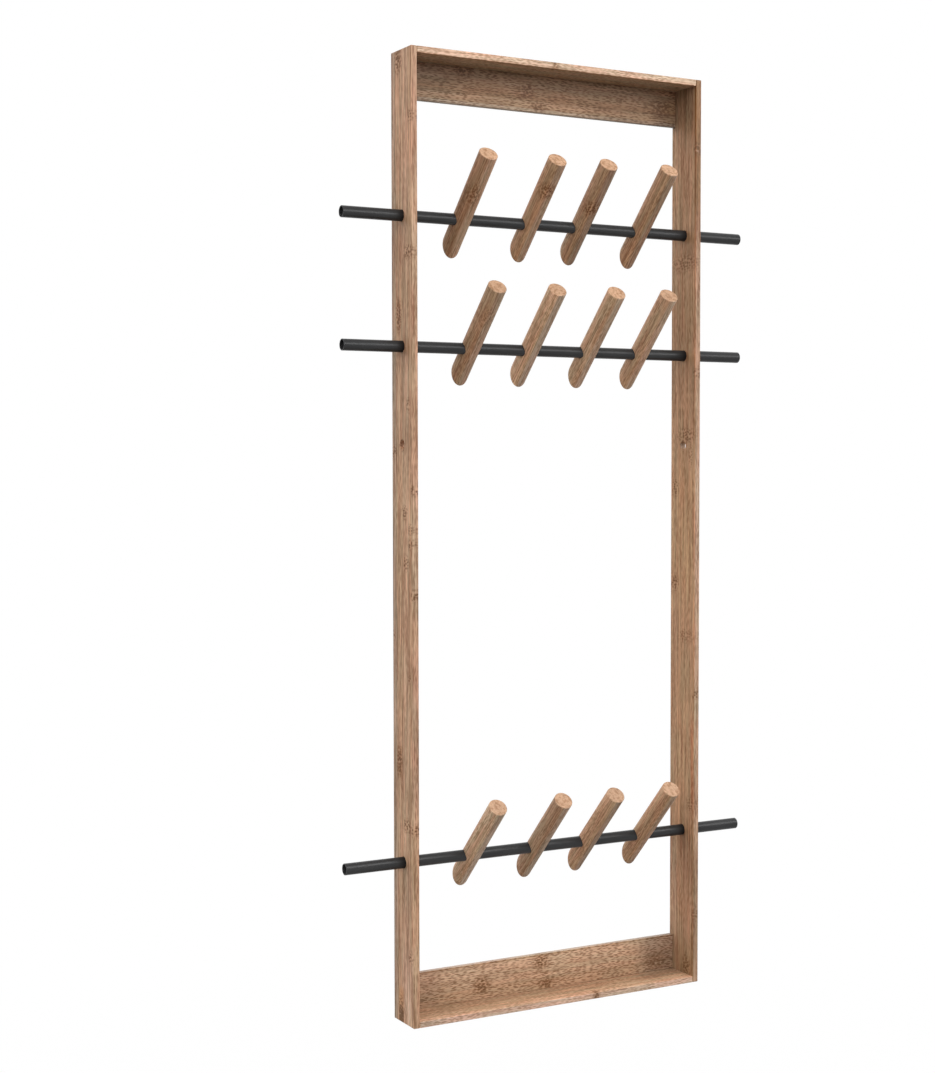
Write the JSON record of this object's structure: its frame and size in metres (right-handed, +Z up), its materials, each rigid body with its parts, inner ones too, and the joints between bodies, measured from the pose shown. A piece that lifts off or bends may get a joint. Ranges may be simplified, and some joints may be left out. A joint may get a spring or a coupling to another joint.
{
  "type": "wall coat rack",
  "caption": "Tall shallow bamboo wall frame with black steel tubes through its sides and round leaning coat pegs that slide along the tubes and tilt up to the wall.",
  "frame": {"origin": "on the wall plane, in the middle of the rack's width, behind the top rail and 40 mm below the rack's top edge", "axes": "+X to the right as seen from the room, +Y into the wall, +Z up"},
  "size_m": [0.73, 0.1348, 1.5],
  "materials": {
    "stile_bamboo": "satin oiled bamboo, caramel, fine lengthwise strips with darker node marks",
    "board_bamboo": "satin oiled bamboo, caramel, fine lengthwise strips with darker node marks",
    "rail_bamboo": "satin oiled bamboo, caramel, fine lengthwise strips with darker node marks",
    "peg_bamboo": "satin turned bamboo, caramel, finely speckled with paler end grain",
    "tube_steel": "matt black powder coat",
    "dowel_wood": "bare hardwood"
  },
  "bodies": {
    "frame": {"left_stile": "stile_bamboo", "right_stile": "stile_bamboo", "top_board": "board_bamboo", "bottom_board": "board_bamboo", "top_back_rail": "rail_bamboo", "bottom_back_rail": "rail_bamboo", "top_board_dowel_left_front": "dowel_wood", "top_board_dowel_left_back": "dowel_wood", "top_board_dowel_right_front": "dowel_wood", "top_board_dowel_right_back": "dowel_wood", "bottom_board_dowel_left_front": "dowel_wood", "bottom_board_dowel_left_back": "dowel_wood", "bottom_board_dowel_right_front": "dowel_wood", "bottom_board_dowel_right_back": "dowel_wood", "top_rail_dowel_left_upper": "dowel_wood", "top_rail_dowel_left_lower": "dowel_wood", "top_rail_dowel_right_upper": "dowel_wood", "top_rail_dowel_right_lower": "dowel_wood", "bottom_rail_dowel_left_upper": "dowel_wood", "bottom_rail_dowel_left_lower": "dowel_wood", "bottom_rail_dowel_right_upper": "dowel_wood", "bottom_rail_dowel_right_lower": "dowel_wood"},
    "top_tube": {"tube_top": "tube_steel"},
    "middle_tube": {"tube_middle": "tube_steel"},
    "bottom_tube": {"tube_bottom": "tube_steel"},
    "top_peg_1": {"peg_top_1": "peg_bamboo"},
    "top_peg_2": {"peg_top_2": "peg_bamboo"},
    "top_peg_3": {"peg_top_3": "peg_bamboo"},
    "top_peg_4": {"peg_top_4": "peg_bamboo"},
    "middle_peg_1": {"peg_middle_1": "peg_bamboo"},
    "middle_peg_2": {"peg_middle_2": "peg_bamboo"},
    "middle_peg_3": {"peg_middle_3": "peg_bamboo"},
    "middle_peg_4": {"peg_middle_4": "peg_bamboo"},
    "bottom_peg_1": {"peg_bottom_1": "peg_bamboo"},
    "bottom_peg_2": {"peg_bottom_2": "peg_bamboo"},
    "bottom_peg_3": {"peg_bottom_3": "peg_bamboo"},
    "bottom_peg_4": {"peg_bottom_4": "peg_bamboo"}
  },
  "joints": [
    {"name": "top_row_tilt", "type": "hinge", "parent": "frame", "child": "top_tube", "pos_m": [0, -0.035, -0.211], "axis": [-1, 0, 0], "range_deg": [0, 54]},
    {"name": "middle_row_tilt", "type": "hinge", "parent": "frame", "child": "middle_tube", "pos_m": [0, -0.035, -0.41], "axis": [-1, 0, 0], "range_deg": [0, 54]},
    {"name": "bottom_row_tilt", "type": "hinge", "parent": "frame", "child": "bottom_tube", "pos_m": [0, -0.035, -1.207], "axis": [-1, 0, 0], "range_deg": [0, 54]},
    {"name": "top_peg_1_slide", "type": "slide", "parent": "top_tube", "child": "top_peg_1", "axis": [1, 0, 0], "range_m": [-0.077, 0.0445]},
    {"name": "top_peg_2_slide", "type": "slide", "parent": "top_tube", "child": "top_peg_2", "axis": [1, 0, 0], "range_m": [-0.0445, 0.0305]},
    {"name": "top_peg_3_slide", "type": "slide", "parent": "top_tube", "child": "top_peg_3", "axis": [1, 0, 0], "range_m": [-0.0305, 0.041]},
    {"name": "top_peg_4_slide", "type": "slide", "parent": "top_tube", "child": "top_peg_4", "axis": [1, 0, 0], "range_m": [-0.041, 0.073]},
    {"name": "middle_peg_1_slide", "type": "slide", "parent": "middle_tube", "child": "middle_peg_1", "axis": [1, 0, 0], "range_m": [-0.092, 0.037]},
    {"name": "middle_peg_2_slide", "type": "slide", "parent": "middle_tube", "child": "middle_peg_2", "axis": [1, 0, 0], "range_m": [-0.037, 0.038]},
    {"name": "middle_peg_3_slide", "type": "slide", "parent": "middle_tube", "child": "middle_peg_3", "axis": [1, 0, 0], "range_m": [-0.038, 0.0335]},
    {"name": "middle_peg_4_slide", "type": "slide", "parent": "middle_tube", "child": "middle_peg_4", "axis": [1, 0, 0], "range_m": [-0.0335, 0.073]},
    {"name": "bottom_peg_1_slide", "type": "slide", "parent": "bottom_tube", "child": "bottom_peg_1", "axis": [1, 0, 0], "range_m": [-0.092, 0.0425]},
    {"name": "bottom_peg_2_slide", "type": "slide", "parent": "bottom_tube", "child": "bottom_peg_2", "axis": [1, 0, 0], "range_m": [-0.0425, 0.0325]},
    {"name": "bottom_peg_3_slide", "type": "slide", "parent": "bottom_tube", "child": "bottom_peg_3", "axis": [1, 0, 0], "range_m": [-0.0325, 0.037]},
    {"name": "bottom_peg_4_slide", "type": "slide", "parent": "bottom_tube", "child": "bottom_peg_4", "axis": [1, 0, 0], "range_m": [-0.037, 0.066]}
  ]
}
